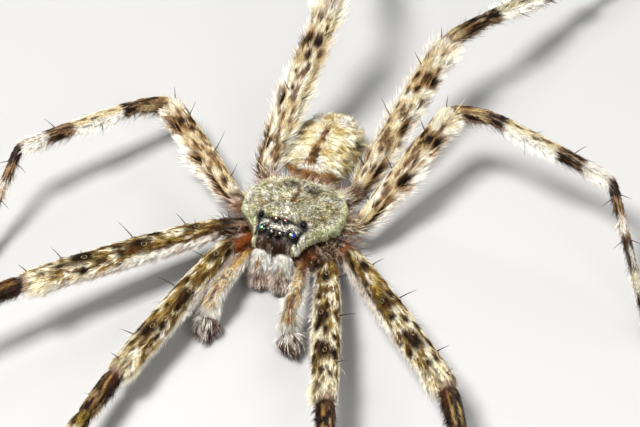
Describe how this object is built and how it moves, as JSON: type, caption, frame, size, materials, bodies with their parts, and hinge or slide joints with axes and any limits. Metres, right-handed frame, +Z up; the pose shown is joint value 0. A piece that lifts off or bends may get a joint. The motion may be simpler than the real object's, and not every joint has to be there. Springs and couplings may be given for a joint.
{
  "type": "huntsman spider",
  "caption": "Still life-size male lichen huntsman spider in a flat sprawled stance, with a round green carapace, mottled hairy legs and long curled palps.",
  "frame": {"origin": "on the floor, at the middle of the spider's footprint box", "axes": "+Z up, -Y the way the spider faces, +X its left side"},
  "size_m": [0.0646, 0.1064, 0.0119],
  "materials": {
    "carapace_coat": "short dense yellow-green and grey hair with brown flecks",
    "leg_coat": "cream and olive hair with dark brown bands and spots",
    "abdomen_coat": "cream and olive hair with a dark middle stripe",
    "face_coat": "long white and mauve-brown hair over dark skin",
    "fang_shell": "glossy dark red-brown horn",
    "eye": "glossy black lens"
  },
  "bodies": {
    "root": {"abdomen": "abdomen_coat", "chelicera_L": "face_coat", "chelicera_R": "face_coat", "coxa_L1": "leg_coat", "coxa_L2": "leg_coat", "coxa_L3": "leg_coat", "coxa_L4": "leg_coat", "coxa_R1": "leg_coat", "coxa_R2": "leg_coat", "coxa_R3": "leg_coat", "coxa_R4": "leg_coat", "cymbium_L": "leg_coat", "cymbium_R": "leg_coat", "eye_AL_L": "eye", "eye_AL_R": "eye", "eye_AM_L": "eye", "eye_AM_R": "eye", "eye_PL_L": "eye", "eye_PL_R": "eye", "eye_PM_L": "eye", "eye_PM_R": "eye", "fang_L": "fang_shell", "fang_R": "fang_shell", "femur_L1": "leg_coat", "femur_L2": "leg_coat", "femur_L3": "leg_coat", "femur_L4": "leg_coat", "femur_R1": "leg_coat", "femur_R2": "leg_coat", "femur_R3": "leg_coat", "femur_R4": "leg_coat", "foot_L1": "leg_coat", "foot_L2": "leg_coat", "foot_L3": "leg_coat", "foot_L4": "leg_coat", "foot_R1": "leg_coat", "foot_R2": "leg_coat", "foot_R3": "leg_coat", "foot_R4": "leg_coat", "palp_L": "leg_coat", "palp_R": "leg_coat", "patella_L1": "leg_coat", "patella_L2": "leg_coat", "patella_L3": "leg_coat", "patella_L4": "leg_coat", "patella_R1": "leg_coat", "patella_R2": "leg_coat", "patella_R3": "leg_coat", "patella_R4": "leg_coat", "pedicel": "leg_coat", "prosoma": "carapace_coat", "spinnerets": "abdomen_coat", "tibia_L1": "leg_coat", "tibia_L2": "leg_coat", "tibia_L3": "leg_coat", "tibia_L4": "leg_coat", "tibia_R1": "leg_coat", "tibia_R2": "leg_coat", "tibia_R3": "leg_coat", "tibia_R4": "leg_coat"}
  },
  "joints": []
}
